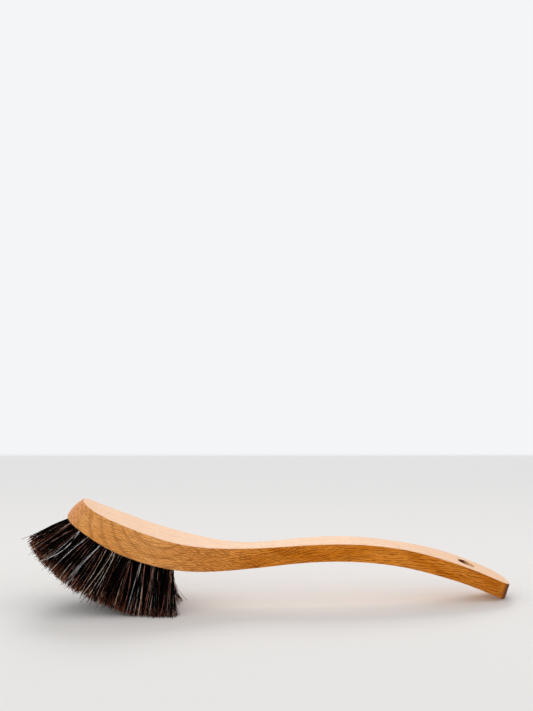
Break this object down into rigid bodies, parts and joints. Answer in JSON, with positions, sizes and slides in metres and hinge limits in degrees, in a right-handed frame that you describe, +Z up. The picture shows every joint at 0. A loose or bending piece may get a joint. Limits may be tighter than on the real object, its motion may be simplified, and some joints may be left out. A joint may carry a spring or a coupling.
{
  "type": "hand brush",
  "caption": "Hand brush: a one-piece beech block with a swan-neck handle and an oval head, filled with fanned dark horsehair tufts; a hole in the handle's end to hang it by.",
  "frame": {"origin": "on the table that the brush lies on, under the middle of the brush's bounding box", "axes": "+X along the brush from the head to the handle's end, +Y across the brush, +Z up; the brush lies on its hair tips and on the lower edge of the handle's end"},
  "size_m": [0.2722, 0.0552, 0.0606],
  "materials": {
    "oiled_beech": "oiled beech, satin, sanded smooth with crisp edges, ray flecks on the sides",
    "horsehair": "black and dark brown horsehair with some lighter strands, slightly glossy",
    "steel_wire": "drawn and flattened bright steel wire"
  },
  "bodies": {
    "root": {"beech_block": "oiled_beech", "hair_tuft_01": "horsehair", "hair_tuft_02": "horsehair", "hair_tuft_03": "horsehair", "hair_tuft_04": "horsehair", "hair_tuft_05": "horsehair", "hair_tuft_06": "horsehair", "hair_tuft_07": "horsehair", "hair_tuft_08": "horsehair", "hair_tuft_09": "horsehair", "hair_tuft_10": "horsehair", "hair_tuft_11": "horsehair", "hair_tuft_12": "horsehair", "hair_tuft_13": "horsehair", "hair_tuft_14": "horsehair", "hair_tuft_15": "horsehair", "hair_tuft_16": "horsehair", "hair_tuft_17": "horsehair", "hair_tuft_18": "horsehair", "hair_tuft_19": "horsehair", "hair_tuft_20": "horsehair", "hair_tuft_21": "horsehair", "hair_tuft_22": "horsehair", "hair_tuft_23": "horsehair", "hair_tuft_24": "horsehair", "hair_tuft_25": "horsehair", "hair_tuft_26": "horsehair", "hair_tuft_27": "horsehair", "hair_tuft_28": "horsehair", "hair_tuft_29": "horsehair", "wire_anchor_01": "steel_wire", "wire_anchor_02": "steel_wire", "wire_anchor_03": "steel_wire", "wire_anchor_04": "steel_wire", "wire_anchor_05": "steel_wire", "wire_anchor_06": "steel_wire", "wire_anchor_07": "steel_wire", "wire_anchor_08": "steel_wire", "wire_anchor_09": "steel_wire", "wire_anchor_10": "steel_wire", "wire_anchor_11": "steel_wire", "wire_anchor_12": "steel_wire", "wire_anchor_13": "steel_wire", "wire_anchor_14": "steel_wire", "wire_anchor_15": "steel_wire", "wire_anchor_16": "steel_wire", "wire_anchor_17": "steel_wire", "wire_anchor_18": "steel_wire", "wire_anchor_19": "steel_wire", "wire_anchor_20": "steel_wire", "wire_anchor_21": "steel_wire", "wire_anchor_22": "steel_wire", "wire_anchor_23": "steel_wire", "wire_anchor_24": "steel_wire", "wire_anchor_25": "steel_wire", "wire_anchor_26": "steel_wire", "wire_anchor_27": "steel_wire", "wire_anchor_28": "steel_wire", "wire_anchor_29": "steel_wire"}
  },
  "joints": []
}
